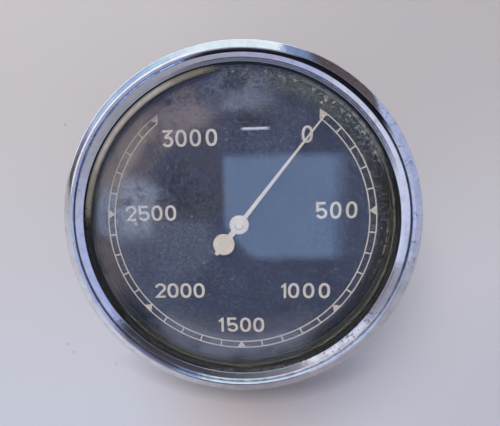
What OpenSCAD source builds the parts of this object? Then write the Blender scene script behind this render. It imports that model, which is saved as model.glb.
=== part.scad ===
// Mechanical tachometer, 0 to 3000 rpm, magnetic drag type, for a 100 mm panel hole.
// It lies on its back: z = 0 is the plane of the drive boss and stud ends, +Z comes out of
// the dial, +Y is twelve o'clock and +X is three o'clock. Sizes are in millimetres.

/* [Case] */
// Outside diameter of the case barrel
case_d = 100; // [94:0.5:104]
// Sheet thickness of the case
case_wall = 0.8; // [0.6:0.1:1.2]
// Depth from the front of the flange to the back of the case
case_depth = 48; // [46:1:70]
// Outside radius between barrel and back
case_corner = 5; // [3:0.5:7]
// Width of the case flange outside the barrel
flange_w = 3.6; // [3:0.1:3.8]
// Diameter of the raised panel in the middle of the back
back_panel_d = 50; // [44:1:54]
// Height of that raised panel
back_panel_h = 1.2; // [0.6:0.1:2]

/* [Bezel and glass] */
// Width by which the bezel stands out past the case flange
bezel_over = 1.6; // [1.2:0.1:3]
// Width by which the bezel's opening lies inside the case barrel
opening_in = 1; // [0.6:0.1:2]
// Sheet thickness of the bezel
bezel_wall = 0.6; // [0.5:0.1:0.8]
// Width of the flatter part of the inner band
flat_w = 1.4; // [1:0.1:1.8]
// Rise of the inner band towards the opening
band_rise = 0.15; // [0:0.01:0.2]
// Width of the domed outer edge from its crest outwards
edge_w = 2.85; // [2.6:0.05:3]
// Height of that crest over the glass
crest_h = 1.95; // [1.6:0.05:2.2]
// Radius of the dome outside the crest
dome_r = 4.5; // [4:0.1:6]
// Radius of the outer corner
corner_r = 0.7; // [0.65:0.05:0.9]
// Radius of the crest's inner shoulder
shoulder_r = 0.3; // [0.2:0.05:0.4]
// Radius of the band's rounded outer edge
bead_r = 0.25; // [0.15:0.05:0.3]
// Width of the groove between the band and the domed edge
groove_w = 0.25; // [0.15:0.05:0.35]
// Depth of that groove
groove_depth = 0.35; // [0.2:0.05:0.45]
// Width by which the glass reaches past the case barrel
glass_over = 1.2; // [0.8:0.1:1.4]
// Thickness of the glass
glass_t = 2.5; // [2:0.1:3]
// Thickness of the rubber ring under the glass
gasket_t = 0.5; // [0.3:0.1:0.8]
// Thickness of the rubber ring behind the bezel
panel_gasket_t = 1.5; // [1:0.1:2.5]

/* [Dial] */
// Height from the dial to the glass
spacer_h = 4.8; // [4.4:0.1:6]
// Sheet thickness of the spacer ring
spacer_wall = 0.5; // [0.4:0.1:0.7]
// Thickness of the dial
dial_t = 0.8; // [0.5:0.1:1]
// Diameter of the hole in the dial
dial_hole_d = 4; // [3.5:0.1:6]
// Distance from the outer scale line to the edge of the opening
scale_edge = 5.65; // [5:0.05:9]
// Distance between the two scale lines
scale_band = 2.15; // [1.5:0.05:3]
// Width of the scale lines
line_w = 0.36; // [0.25:0.01:0.5]
// Thickness of the printing
print_t = 0.08; // [0.05:0.01:0.15]
// Angle from the first mark to the last
sweep = 285; // [240:1:300]
// Number of steps between marks
steps = 30; // [20:1:30]
// Steps from one large mark to the next
major_every = 5; // [2:1:10]
// Width of a large mark at the outer line
major_w = 3.3; // [2:0.1:4]

/* [Pointer] */
// Height of the pointer over the dial
pointer_rise = 1.9; // [1.6:0.1:2.6]
// Thickness of the pointer blade
pointer_t = 0.4; // [0.3:0.05:0.6]
// Angle of the resting pointer past the first mark
pointer_past = 0.8; // [0:0.1:2]
// Distance from the pointer's tip to the outer scale line
tip_gap = 0.35; // [0.2:0.05:4]
// Width of the pointer at its hub
pointer_root_w = 1.3; // [1:0.1:1.8]
// Width of the pointer at its tip
pointer_tip_w = 0.45; // [0.3:0.05:0.8]
// Diameter of the hub disc
hub_d = 6.1; // [5:0.1:8]
// Diameter of the counterweight disc
tail_d = 6.9; // [5:0.1:8]
// Distance from the axis to the counterweight
tail_r = 8.2; // [7.5:0.1:11]
// Width of the neck between the discs
neck_w = 1.7; // [1:0.1:2.5]
// Length of the nub at the end of the tail
nub_l = 0.8; // [0.3:0.1:1.5]

/* [Measuring system] */
// Diameter of the pointer spindle
staff_d = 1.6; // [1.2:0.1:2]
// Diameter of the spindle's lower pivot
pivot_d = 0.8; // [0.5:0.1:1]
// Outside diameter of the drag cup
drag_d = 30; // [28:0.5:32]
// Height of the drag cup
drag_h = 12; // [10:0.5:13]
// Wall of the drag cup
drag_wall = 0.8; // [0.5:0.1:1]
// Diameter of the magnet
magnet_d = 24; // [18:0.5:25]
// Thickness of the magnet
magnet_t = 9; // [7:0.5:9.5]
// Inside diameter of the return cup
return_d = 34; // [33:0.5:37]
// Wall of the return cup
return_wall = 1.5; // [1:0.1:2]
// Turns of the hairspring
hair_turns = 5; // [3:0.5:6]
// Radius at the hairspring's outer end
hair_r = 10; // [9:0.1:11]
// Thickness of the hairspring's strip
hair_t = 0.3; // [0.2:0.05:0.4]
// Height of the hairspring's strip
hair_h = 1.2; // [0.8:0.1:1.6]
// Running clearance of a spindle in its bush, on the radius
run_fit = 0.04; // [0.02:0.01:0.08]

/* [Movement frame] */
// Thickness of the base plate
base_t = 3; // [2:0.1:4]
// Radius on which the pillars stand
pillar_r = 34; // [30:0.5:36]
// Diameter of the pillars
pillar_d = 6; // [5:0.5:8]
// Thickness of the dial carrier
carrier_t = 1.2; // [1:0.1:2]
// Thickness of the bridge
bridge_t = 2; // [1.5:0.1:3]
// Width of the bridge
bridge_w = 13; // [11:0.5:16]
// Distance of the bridge pillars from the axis
bridge_r = 23.5; // [22.5:0.5:25]

/* [Drive] */
// Length of the threaded drive boss behind the case
boss_len = 16.8; // [14:0.2:22]
// Thread diameter of the drive boss
boss_d = 22; // [18:1:24]
// Diameter of the bore for the cable ferrule
ferrule_d = 13; // [12:0.5:14]
// Depth of that bore
ferrule_depth = 8; // [6:0.5:9]
// Diameter of the drive spindle
spindle_d = 6; // [5.5:0.1:6.5]
// Width of the square socket for the cable end
square_w = 2.7; // [2.4:0.1:3.3]
// Depth of the square socket
square_depth = 10; // [8:0.5:12]
// Outside diameter of the bronze bush
bush_d = 10; // [9:0.5:11]

/* [Fixings] */
// Diameter of the mounting studs
stud_d = 5; // [4:0.5:6]
// Distance between the two studs
stud_span = 70; // [64:1:72]
// Width across the flats of the stud nuts
nut_w = 8; // [7:0.5:10]
// Height of the stud nuts
nut_h = 4; // [3:0.1:5]
// Thickness of the stud washers
washer_t = 1; // [0.6:0.1:1.5]
// Diameter of the case screws
screw_d = 3; // [2.5:0.5:4]

/* [Hidden] */
$fn = 96;
eps = 0.01;
fit = 0.2; // assembly clearance on a radius

// Heights, from the resting plane up
z_panel = boss_len;
z_back = z_panel + back_panel_h;
z_floor = z_back + case_wall;
z_flange = z_back + case_depth;
z_flange_back = z_flange - case_wall;
z_glass = z_flange + gasket_t;
z_glass_top = z_glass + glass_t;
z_dial = z_glass - spacer_h;
z_carrier = z_dial - dial_t - carrier_t;
z_bezel_back = z_flange_back - bezel_wall;

// Radii of the case and the bezel
case_r = case_d / 2;
case_in_r = case_r - case_wall;
flange_r = case_r + flange_w;
bezel_r = flange_r + bezel_over;
opening_r = case_r - opening_in;
scale_r = opening_r - scale_edge;
glass_r = case_r + glass_over;
lip_r = case_r + 1.2;
skirt_in_r = flange_r + fit;
dome_c = bezel_r - edge_w;
corner_c = bezel_r - corner_r;
dome_turn = asin((corner_c - dome_c) / (dome_r - corner_r)); // where dome and corner meet
groove_r = dome_c - shoulder_r;
groove_in_r = groove_r - groove_w;
bead_c = groove_in_r - bead_r;
z_crest = z_glass_top + crest_h;
z_dome = z_crest - dome_r;
z_corner = z_dome + (dome_r - corner_r) * cos(dome_turn);
z_band = z_glass_top + bezel_wall;
z_groove = z_band - groove_depth;
z_root = z_groove - bezel_wall;

// Drive line
boss_flange_r = boss_d / 2 + 4;
boss_flange_t = 2.5;
z_boss_seat = z_panel + case_wall;
z_boss_top = z_boss_seat + boss_flange_t;
clip_t = 0.8;
clip_gap = 0.2;
z_spindle = ferrule_depth + 0.3;
z_clip = z_spindle + 0.7;
z_bush = z_clip + clip_t + clip_gap;
thrust_t = 0.5;
z_thrust = z_boss_top;
z_hub = z_thrust + thrust_t + clip_gap;
z_base = z_boss_top;
z_base_top = z_base + base_t;
z_return = z_base_top + 1.2;
z_magnet = z_return + return_wall + 1.5;
z_magnet_top = z_magnet + magnet_t;
hub_neck_r = spindle_d / 2 + 1;
hub_flange_r = hub_neck_r + 2;
z_spindle_top = z_magnet_top - 0.5;
jewel_d = 3;
jewel_t = 1.5;
z_drag_top = z_magnet_top + 3.2;
drag_r = drag_d / 2;

// Pointer staff and its upper bearing
z_bridge = z_drag_top + 4.2;
z_bridge_top = z_bridge + bridge_t;
lever_t = 0.8;
upper_bush_r = 2.5;
z_upper_bush = z_bridge - 0.8;
z_upper_bush_top = z_bridge_top + lever_t + 0.3;
z_hair = z_upper_bush_top + 0.5;
collet_r = staff_d / 2 + 1.4;
z_arm = z_hair + hair_h + 1.2;
arm_t = 0.8;
arm_l = 8;
arm_w = 1.2;
stop_r = 6.6;
stop_pin_r = 0.7;
stop_gap = 0.15;
z_pointer = z_dial + pointer_rise;
pointer_len = scale_r - tip_gap;
z_pivot = z_spindle_top - 1.3;
z_shoulder = z_spindle_top + jewel_t + 0.3;

// Depth of the threaded holes in the pillars
screw_reach = 2 * screw_d;

// The scale starts this far clockwise from twelve o'clock
start_a = (360 - sweep) / 2;
step_a = sweep / steps;

// Direction of the pointer arm on the staff, opposite the needle
zero_dir = 90 - start_a;

module ring(r_out, r_in, h) {
    difference() {
        cylinder(r = r_out, h = h);
        translate([0, 0, -eps]) cylinder(r = r_in, h = h + 2 * eps);
    }
}

module at_pillars() {
    for (a = [90, 210, 330]) rotate(a) translate([pillar_r, 0, 0]) children();
}

module at_studs() {
    for (s = [-1, 1]) translate([s * stud_span / 2, 0, 0]) children();
}

module at_bridge_pillars() {
    for (s = [-1, 1]) translate([s * bridge_r, 0, 0]) children();
}

// Section of the domed edge from its crest to the outside, smaller by the inset
module domed_edge(inset) {
    translate([dome_c, z_dome]) intersection() {
        circle(dome_r - inset);
        polygon([[0, 0], [dome_r * tan(dome_turn), dome_r], [0, dome_r]]);
    }
    translate([corner_c, z_corner]) circle(corner_r - inset);
    polygon([
        [dome_c, z_root], [bezel_r - inset, z_root], [bezel_r - inset, z_corner], [corner_c, z_corner]
    ]);
}

// Pressed bezel: inner band, groove and domed edge, with a skirt closed behind the flange
module bezel_ring() {
    color("lightsteelblue") rotate_extrude() difference() {
        union() {
            polygon([
                [opening_r, z_glass_top], [groove_in_r, z_glass_top], [groove_in_r, z_band - bead_r],
                [bead_c, z_band - bead_r], [bead_c, z_band], [opening_r + flat_w, z_band + 0.65 * band_rise],
                [opening_r, z_band + band_rise]
            ]);
            translate([bead_c, z_band - bead_r]) circle(bead_r);
            translate([glass_r, z_root]) square([dome_c - glass_r, z_groove - z_root]);
            translate([groove_r, z_root]) square([shoulder_r, z_crest - shoulder_r - z_root]);
            translate([dome_c, z_crest - shoulder_r]) intersection() {
                circle(shoulder_r);
                translate([-shoulder_r, 0]) square(shoulder_r);
            }
            domed_edge(0);
            polygon([
                [lip_r, z_bezel_back], [bezel_r - 0.9, z_bezel_back], [bezel_r - 0.4, z_bezel_back + 0.5],
                [bezel_r, z_root], [lip_r, z_root]
            ]);
        }
        translate([0, z_flange_back]) square([glass_r + fit, z_glass_top - z_flange_back]);
        polygon([
            [0, z_flange_back], [skirt_in_r, z_flange_back], [bezel_r - bezel_wall, z_root], [0, z_root]
        ]);
        domed_edge(bezel_wall);
    }
}

module glass() {
    color("azure", 0.3) translate([0, 0, z_glass]) cylinder(r = glass_r, h = glass_t);
}

module glass_gasket() {
    color("dimgray") translate([0, 0, z_flange]) ring(glass_r, case_in_r, gasket_t);
}

module panel_gasket() {
    color("black") translate([0, 0, z_bezel_back - panel_gasket_t])
        ring(bezel_r - 0.6, case_r + fit, panel_gasket_t);
}

// Spacer ring between dial and glass: an upright wall with a foot on the dial's rim
module spacer_ring() {
    spacer_r = case_in_r - fit;
    color("gray") translate([0, 0, z_dial]) {
        ring(spacer_r, spacer_r - spacer_wall, spacer_h);
        ring(spacer_r - spacer_wall / 2, spacer_r - 3 * spacer_wall, spacer_wall);
    }
}

// Deep-drawn case: barrel, outward flange, rounded corner and raised back panel
module case_shell() {
    corner_in = case_corner - case_wall;
    corner_c = case_r - case_corner;
    color("darkslategray") difference() {
        rotate_extrude() difference() {
            union() {
                translate([0, z_back + case_corner]) square([case_r, case_depth - case_corner]);
                translate([0, z_flange_back]) square([flange_r, case_wall]);
                translate([corner_c, z_back + case_corner]) circle(case_corner);
                translate([0, z_back]) square([corner_c, case_corner]);
                translate([0, z_panel]) square([back_panel_d / 2, back_panel_h + eps]);
            }
            translate([0, z_floor + corner_in]) square([case_in_r, case_depth]);
            translate([corner_c, z_floor + corner_in]) circle(corner_in);
            translate([0, z_floor]) square([corner_c, case_corner]);
            translate([0, z_boss_seat]) square([back_panel_d / 2 - case_wall, back_panel_h + eps]);
        }
        translate([0, 0, z_panel - eps]) cylinder(d = boss_d, h = 2);
        at_studs() translate([0, 0, z_back - eps]) cylinder(d = stud_d, h = 2);
        at_pillars() translate([0, 0, z_back - eps]) cylinder(d = screw_d, h = 2);
    }
}

module dial_plate() {
    color("#2b2c31") translate([0, 0, z_dial - dial_t]) ring(case_in_r - fit, dial_hole_d / 2, dial_t);
}

// Printed scale: two fine arcs, short cross lines and triangles on the large marks
module dial_scale() {
    inner_r = scale_r - scale_band;
    color("antiquewhite") translate([0, 0, z_dial]) {
        for (r = [scale_r, inner_r])
            rotate(90 + start_a) rotate_extrude(angle = sweep)
                translate([r - line_w / 2, 0]) square([line_w, print_t]);
        for (i = [0 : steps]) rotate(90 - start_a - i * step_a)
            if (i % major_every == 0)
                linear_extrude(print_t)
                    polygon([[scale_r, -major_w / 2], [scale_r + line_w / 3, 0], [scale_r, major_w / 2], [inner_r, 0]]);
            else
                translate([inner_r, -line_w * 0.65, 0]) cube([scale_band, line_w * 1.3, print_t]);
    }
}

// Stamped pointer: tapered needle, hub disc, neck, counterweight disc and nub
module pointer() {
    color("antiquewhite") rotate(zero_dir - pointer_past) translate([0, 0, z_pointer]) difference() {
        union() {
            linear_extrude(pointer_t) {
                polygon([
                    [0, -pointer_root_w / 2], [pointer_len - pointer_tip_w, -pointer_tip_w / 2], [pointer_len, 0],
                    [pointer_len - pointer_tip_w, pointer_tip_w / 2], [0, pointer_root_w / 2]
                ]);
                circle(d = hub_d);
                translate([-tail_r, 0]) circle(d = tail_d);
                translate([-tail_r, -neck_w / 2]) square([tail_r, neck_w]);
                translate([-tail_r - tail_d / 2 - nub_l, -pointer_root_w / 2]) square([nub_l + 1, pointer_root_w]);
            }
            cylinder(d = hub_d - 0.8, h = pointer_t + 0.2);
        }
        translate([0, 0, -eps]) cylinder(r = collet_r - 1, h = pointer_t + 1);
    }
}

// Brass bush riveted in the pointer, with the low dome that shows at its middle
module pointer_bush() {
    bush_r = collet_r - 1;
    color("antiquewhite") translate([0, 0, z_dial + 0.6]) difference() {
        union() {
            cylinder(r = bush_r + 0.6, h = pointer_rise - 0.6);
            cylinder(r = bush_r, h = pointer_rise + pointer_t + 0.2);
            translate([0, 0, pointer_rise + pointer_t - 0.6]) rotate_extrude() intersection() {
                translate([0, -1.4]) circle(2.2);
                translate([0, 0.2]) square([bush_r + 0.35, 1.5]);
            }
        }
        translate([0, 0, -eps]) cylinder(d = staff_d, h = pointer_rise + pointer_t - 0.6);
    }
}

// Thin steel staff that carries the drag cup, the hairspring and the pointer
module pointer_staff() {
    top = z_dial + pointer_rise + pointer_t - eps;
    color("silver") {
        translate([0, 0, z_pivot]) cylinder(d = pivot_d, h = z_shoulder - z_pivot + eps);
        translate([0, 0, z_shoulder]) cylinder(d = staff_d, h = top - z_shoulder);
    }
}

module drag_cup() {
    color("gainsboro") translate([0, 0, z_drag_top - drag_h]) difference() {
        cylinder(r = drag_r, h = drag_h);
        translate([0, 0, -eps]) cylinder(r = drag_r - drag_wall, h = drag_h - drag_wall + eps);
        cylinder(r = collet_r, h = drag_h + 1);
        for (a = [0 : 60 : 300]) rotate(a) translate([drag_r * 0.55, 0, 0]) cylinder(r = 1.6, h = drag_h + 1);
    }
}

// Brass hub riveted in the drag cup and pressed on the staff
module drag_hub() {
    color("goldenrod") translate([0, 0, z_drag_top - drag_wall]) difference() {
        union() {
            cylinder(r = collet_r, h = drag_wall + 2);
            translate([0, 0, -0.6]) cylinder(r = collet_r + 1, h = 0.6);
            translate([0, 0, drag_wall]) cylinder(r = collet_r + 1, h = 0.6);
        }
        translate([0, 0, -1]) cylinder(d = staff_d, h = drag_wall + 4);
    }
}

// Flat spiral that brings the pointer back to zero
function hair_radius(a) = collet_r + (hair_r - collet_r) * a / (360 * hair_turns);
hair_points = 30 * hair_turns;
hair_path = [for (i = [0 : hair_points]) let (a = 360 * hair_turns * i / hair_points) [hair_radius(a), a]];
echo("least gap between hairspring turns, mm", (hair_r - collet_r) / hair_turns - hair_t);

module hairspring() {
    color("lightsteelblue") translate([0, 0, z_hair]) linear_extrude(hair_h) polygon(concat(
        [for (p = hair_path) (p[0] - hair_t / 2) * [cos(p[1]), sin(p[1])]],
        [for (i = [hair_points : -1 : 0]) let (p = hair_path[i]) (p[0] + hair_t / 2) * [cos(p[1]), sin(p[1])]]
    ));
}

module hairspring_collet() {
    color("goldenrod") translate([0, 0, z_hair]) ring(collet_r - hair_t / 2, staff_d / 2, hair_h);
}

// Lever round the upper bush, with the post that holds the spring's outer end
module regulator_lever() {
    hair_end = 360 * hair_turns;
    post_r = 1;
    color("goldenrod") rotate(hair_end) translate([0, 0, z_bridge_top]) difference() {
        union() {
            cylinder(r = upper_bush_r + 1.8, h = lever_t);
            translate([0, -1.4, 0]) cube([hair_r + 3, 2.8, lever_t]);
            translate([hair_r + hair_t / 2 + post_r, 0, 0]) cylinder(r = post_r, h = z_hair + hair_h - z_bridge_top);
            translate([-hair_r, -1, 0]) cube([hair_r, 2, lever_t]);
        }
        translate([0, 0, -eps]) cylinder(r = upper_bush_r, h = lever_t + 2 * eps);
    }
}

module upper_bush() {
    color("darkgoldenrod") difference() {
        translate([0, 0, z_upper_bush]) cylinder(r = upper_bush_r, h = z_upper_bush_top - z_upper_bush);
        translate([0, 0, z_upper_bush - eps]) cylinder(r = staff_d / 2 + run_fit, h = 20);
    }
}

// Stop arm on the staff: it meets one pin at zero and the other at full scale
module stop_arm() {
    color("goldenrod") translate([0, 0, z_arm]) rotate(zero_dir + 180) difference() {
        union() {
            cylinder(r = collet_r, h = arm_t);
            translate([0, -arm_w / 2, 0]) cube([arm_l, arm_w, arm_t]);
        }
        translate([0, 0, -eps]) cylinder(d = staff_d, h = arm_t + 2 * eps);
    }
}

// Two pins hang from the dial carrier, one at each end of the pointer's travel
module at_stop_pins() {
    side = asin((arm_w / 2 + stop_pin_r + stop_gap) / stop_r);
    arm_dir = zero_dir + 180;
    for (a = [arm_dir + side, arm_dir - sweep - side]) rotate(a) translate([stop_r, 0, 0]) children();
}

module stop_pins() {
    color("silver") at_stop_pins() translate([0, 0, z_arm - 0.5])
        cylinder(r = stop_pin_r, h = z_carrier + carrier_t - z_arm + 0.5);
}

// Bar over the drag cup, on two pillars
module bridge() {
    color("#b9a26a") difference() {
        translate([0, 0, z_bridge]) union() {
            translate([-bridge_r, -bridge_w / 2, 0]) cube([2 * bridge_r, bridge_w, bridge_t]);
            at_bridge_pillars() cylinder(d = bridge_w, h = bridge_t);
        }
        translate([0, 0, z_bridge - eps]) cylinder(r = upper_bush_r, h = bridge_t + 2 * eps);
        at_bridge_pillars() translate([0, 0, z_bridge - eps]) cylinder(d = screw_d, h = bridge_t + 2 * eps);
    }
}

module bridge_pillars() {
    color("silver") at_bridge_pillars() translate([0, 0, z_base_top]) difference() {
        cylinder(d = pillar_d, h = z_bridge - z_base_top);
        translate([0, 0, z_bridge - z_base_top - screw_reach]) cylinder(d = screw_d, h = screw_reach + eps);
    }
}

module bridge_screws() {
    color("silver") at_bridge_pillars() {
        translate([0, 0, z_bridge - screw_reach + 1]) cylinder(d = screw_d, h = screw_reach - 1 + bridge_t + eps);
        translate([0, 0, z_bridge_top]) slotted_head(screw_d);
    }
}

// Cheese head with a slot
module slotted_head(d) {
    difference() {
        cylinder(r = d * 0.9, h = d * 0.55);
        translate([-d, -d * 0.12, d * 0.3]) cube([2 * d, d * 0.24, d]);
    }
}

// Die-cast base: a ring with three feet, open between its arms, and machined pads for the pillars
module base_plate() {
    foot_r = pillar_d / 2 + 2;
    leg_w = 2 * foot_r - 2;
    web_t = base_t - 0.3;
    opening_c = (bridge_r + hub_flange_r) / 2;
    color("#8d9096") difference() {
        union() {
            translate([0, 0, z_base]) {
                cylinder(r = bridge_r + pillar_d / 2 + 1, h = web_t);
                for (a = [90, 210, 330]) rotate(a) translate([0, -leg_w / 2, 0.3])
                    cube([pillar_r - screw_d, leg_w, web_t - 0.6]);
                at_bridge_pillars() cylinder(r = pillar_d / 2 + 0.5, h = base_t);
            }
            at_pillars() translate([0, 0, z_floor]) cylinder(r = foot_r, h = z_base_top - z_floor);
        }
        translate([0, 0, z_base - eps]) cylinder(r = hub_flange_r + 1, h = base_t + 2 * eps);
        at_pillars() translate([0, 0, z_floor - eps]) cylinder(d = screw_d, h = z_base_top - z_floor + 2 * eps);
        for (a = [30, 150, 270]) rotate(a) translate([opening_c, 0, z_base - eps]) cylinder(r = 5, h = base_t + 2 * eps);
    }
}

module pillars() {
    color("silver") at_pillars() translate([0, 0, z_base_top]) difference() {
        cylinder(d = pillar_d, h = z_carrier - z_base_top);
        translate([0, 0, -eps]) cylinder(d = screw_d, h = 8);
        translate([0, 0, z_carrier - z_base_top - 6]) cylinder(d = screw_d, h = 6 + eps);
    }
}

// Plate under the dial, with countersunk screws so that the dial lies flat
module dial_carrier() {
    color("silver") difference() {
        translate([0, 0, z_carrier]) cylinder(r = pillar_r + pillar_d, h = carrier_t);
        translate([0, 0, z_carrier - eps]) cylinder(r = dial_hole_d / 2 + 1.2, h = carrier_t + 2 * eps);
        at_pillars() translate([0, 0, z_carrier - eps]) carrier_screw_space();
        at_stop_pins() translate([0, 0, z_carrier - eps]) cylinder(r = stop_pin_r, h = carrier_t + 2 * eps);
        for (a = [0, 180]) rotate(a) translate([22, 0, z_carrier - eps]) cylinder(r = 8, h = carrier_t + 2 * eps);
    }
}

module carrier_screw_space() {
    cylinder(d = screw_d, h = carrier_t + 2 * eps);
    translate([0, 0, carrier_t - screw_d * 0.35]) cylinder(d1 = screw_d, d2 = screw_d * 1.9, h = screw_d * 0.35 + 2 * eps);
}

module carrier_screws() {
    color("silver") at_pillars() translate([0, 0, z_carrier]) difference() {
        union() {
            translate([0, 0, -5]) cylinder(d = screw_d, h = carrier_t + 5);
            translate([0, 0, carrier_t - screw_d * 0.35]) cylinder(d1 = screw_d, d2 = screw_d * 1.9 - 0.1, h = screw_d * 0.35);
        }
        translate([-screw_d, -0.3, carrier_t - 0.5]) cube([2 * screw_d, 0.6, 1]);
    }
}

// Turned hub on the drive spindle: it clamps the return cup and carries the magnet
module magnet_hub() {
    color("goldenrod") difference() {
        union() {
            translate([0, 0, z_hub]) cylinder(r = hub_flange_r, h = z_return - z_hub);
            translate([0, 0, z_return]) cylinder(r = hub_neck_r, h = z_magnet_top - z_return + 0.6);
            translate([0, 0, z_return + return_wall])
                cylinder(r = hub_flange_r, h = z_magnet - z_return - return_wall);
        }
        translate([0, 0, z_hub - eps]) cylinder(d = spindle_d, h = z_spindle_top - z_hub + eps);
        cylinder(d = jewel_d, h = z_magnet_top + 5);
    }
}

// Disc magnet with rounded rim and two flats that mark its poles
module magnet() {
    color("#4c4f55") translate([0, 0, z_magnet]) difference() {
        cylinder(d = magnet_d, h = magnet_t);
        translate([0, 0, -eps]) cylinder(r = hub_neck_r, h = magnet_t + 2 * eps);
        for (s = [-1, 1]) translate([s * (magnet_d / 2 + 4.5), 0, -eps]) cylinder(r = 6, h = magnet_t + 2 * eps);
    }
}

// Soft iron cup that turns with the magnet outside the drag cup
module return_cup() {
    cup_r = return_d / 2 + return_wall;
    color("#6d6f73") translate([0, 0, z_return]) difference() {
        cylinder(r = cup_r, h = z_magnet_top - z_return + 1.5);
        translate([0, 0, return_wall]) cylinder(d = return_d, h = magnet_t + 10);
        translate([0, 0, -eps]) cylinder(r = hub_neck_r, h = return_wall + 2 * eps);
    }
}

module lower_jewel() {
    color("firebrick") translate([0, 0, z_spindle_top]) difference() {
        cylinder(d = jewel_d, h = jewel_t);
        translate([0, 0, -eps]) cylinder(r = pivot_d / 2 + run_fit, h = jewel_t + 2 * eps);
    }
}

// Drive spindle with the square socket for the cable end and a groove for its clip
module drive_spindle() {
    color("lightgray") difference() {
        translate([0, 0, z_spindle]) cylinder(d = spindle_d, h = z_spindle_top - z_spindle);
        translate([-square_w / 2, -square_w / 2, z_spindle - eps]) cube([square_w, square_w, square_depth + eps]);
        translate([0, 0, z_clip]) ring(spindle_d, spindle_d / 2 - 0.4, clip_t);
        translate([0, 0, z_pivot - 0.4]) cylinder(r = pivot_d / 2 + 0.3, h = z_spindle_top - z_pivot + 1);
    }
}

// Open clip in the spindle's groove
module spindle_clip() {
    color("dimgray") translate([0, 0, z_clip]) difference() {
        ring(spindle_d / 2 + 1.2, spindle_d / 2 - 0.4, clip_t);
        translate([0, -1.2, -eps]) cube([spindle_d, 2.4, clip_t + 2 * eps]);
    }
}

module thrust_washer() {
    color("goldenrod") translate([0, 0, z_thrust]) ring(bush_d / 2 + 0.8, spindle_d / 2 + run_fit, thrust_t);
}

module lower_bush() {
    color("darkgoldenrod") translate([0, 0, z_bush]) ring(bush_d / 2, spindle_d / 2 + run_fit, z_boss_top - z_bush);
}

// Threaded boss: the flange inside the case is clamped under the base plate
module drive_boss() {
    thread_relief = 1.2;
    color("#a7a9ac") difference() {
        union() {
            cylinder(d1 = boss_d - 2, d2 = boss_d, h = 1);
            translate([0, 0, 1]) cylinder(d = boss_d, h = z_panel - 1 - thread_relief);
            translate([0, 0, z_panel - thread_relief - eps]) cylinder(d = boss_d - 2.4, h = thread_relief + case_wall + eps);
            translate([0, 0, z_boss_seat]) cylinder(r = boss_flange_r, h = boss_flange_t);
        }
        translate([0, 0, -eps]) cylinder(d = ferrule_d, h = ferrule_depth + eps);
        cylinder(d = bush_d, h = z_boss_top + eps);
    }
}

module mounting_studs() {
    color("silver") at_studs() {
        translate([0, 0, 0.6]) cylinder(d = stud_d, h = z_floor - 0.6 + eps);
        cylinder(d1 = stud_d - 1.2, d2 = stud_d, h = 0.6 + eps);
        translate([0, 0, z_floor]) cylinder(d = stud_d * 2, h = 1.5);
    }
}

module stud_washers() {
    color("silver") at_studs() translate([0, 0, z_back - washer_t]) ring(stud_d, stud_d / 2 + 0.1, washer_t);
}

module stud_nuts() {
    color("silver") at_studs() translate([0, 0, z_back - washer_t - nut_h]) difference() {
        intersection() {
            cylinder(r = nut_w / sqrt(3), h = nut_h, $fn = 6);
            union() {
                cylinder(d1 = nut_w * 0.95, d2 = nut_w * 1.2, h = nut_h / 4 + eps);
                translate([0, 0, nut_h / 4]) cylinder(d = nut_w * 1.2, h = nut_h);
            }
        }
        translate([0, 0, -eps]) cylinder(d = stud_d, h = nut_h + 2 * eps);
    }
}

module case_screws() {
    color("silver") at_pillars() {
        translate([0, 0, z_back - eps]) cylinder(d = screw_d, h = z_base_top + screw_reach - z_back);
        translate([0, 0, z_back]) mirror([0, 0, 1]) slotted_head(screw_d);
    }
}

bezel_ring();
glass();
glass_gasket();
panel_gasket();
spacer_ring();
case_shell();
dial_plate();
dial_scale();
pointer();
pointer_bush();
pointer_staff();
drag_cup();
drag_hub();
hairspring();
hairspring_collet();
regulator_lever();
upper_bush();
stop_arm();
stop_pins();
bridge();
bridge_pillars();
bridge_screws();
base_plate();
pillars();
dial_carrier();
carrier_screws();
magnet_hub();
magnet();
return_cup();
lower_jewel();
drive_spindle();
spindle_clip();
thrust_washer();
lower_bush();
drive_boss();
mounting_studs();
stud_washers();
stud_nuts();
case_screws();
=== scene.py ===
import math

import bpy
from mathutils import Matrix, Vector


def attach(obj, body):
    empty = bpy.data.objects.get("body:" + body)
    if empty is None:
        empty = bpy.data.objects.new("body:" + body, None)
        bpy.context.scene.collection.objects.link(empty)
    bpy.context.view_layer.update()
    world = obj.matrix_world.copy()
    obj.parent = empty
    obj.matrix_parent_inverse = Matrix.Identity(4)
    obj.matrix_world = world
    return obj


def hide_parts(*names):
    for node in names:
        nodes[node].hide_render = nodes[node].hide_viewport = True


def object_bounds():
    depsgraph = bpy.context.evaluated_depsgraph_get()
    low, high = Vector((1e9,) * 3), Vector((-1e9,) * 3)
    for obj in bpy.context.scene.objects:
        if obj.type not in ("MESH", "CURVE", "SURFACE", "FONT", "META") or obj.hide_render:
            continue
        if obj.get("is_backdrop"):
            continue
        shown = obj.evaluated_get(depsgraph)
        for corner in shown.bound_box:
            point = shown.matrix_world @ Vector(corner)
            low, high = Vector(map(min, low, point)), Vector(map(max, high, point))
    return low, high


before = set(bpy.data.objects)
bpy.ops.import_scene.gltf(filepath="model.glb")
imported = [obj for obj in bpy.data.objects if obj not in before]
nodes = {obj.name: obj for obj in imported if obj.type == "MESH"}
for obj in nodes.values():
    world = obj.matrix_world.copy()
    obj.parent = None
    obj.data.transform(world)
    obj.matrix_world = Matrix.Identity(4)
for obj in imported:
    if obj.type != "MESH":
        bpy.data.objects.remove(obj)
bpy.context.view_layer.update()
mm = 0.001
bpy.ops.object.select_all(action="DESELECT")

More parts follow.
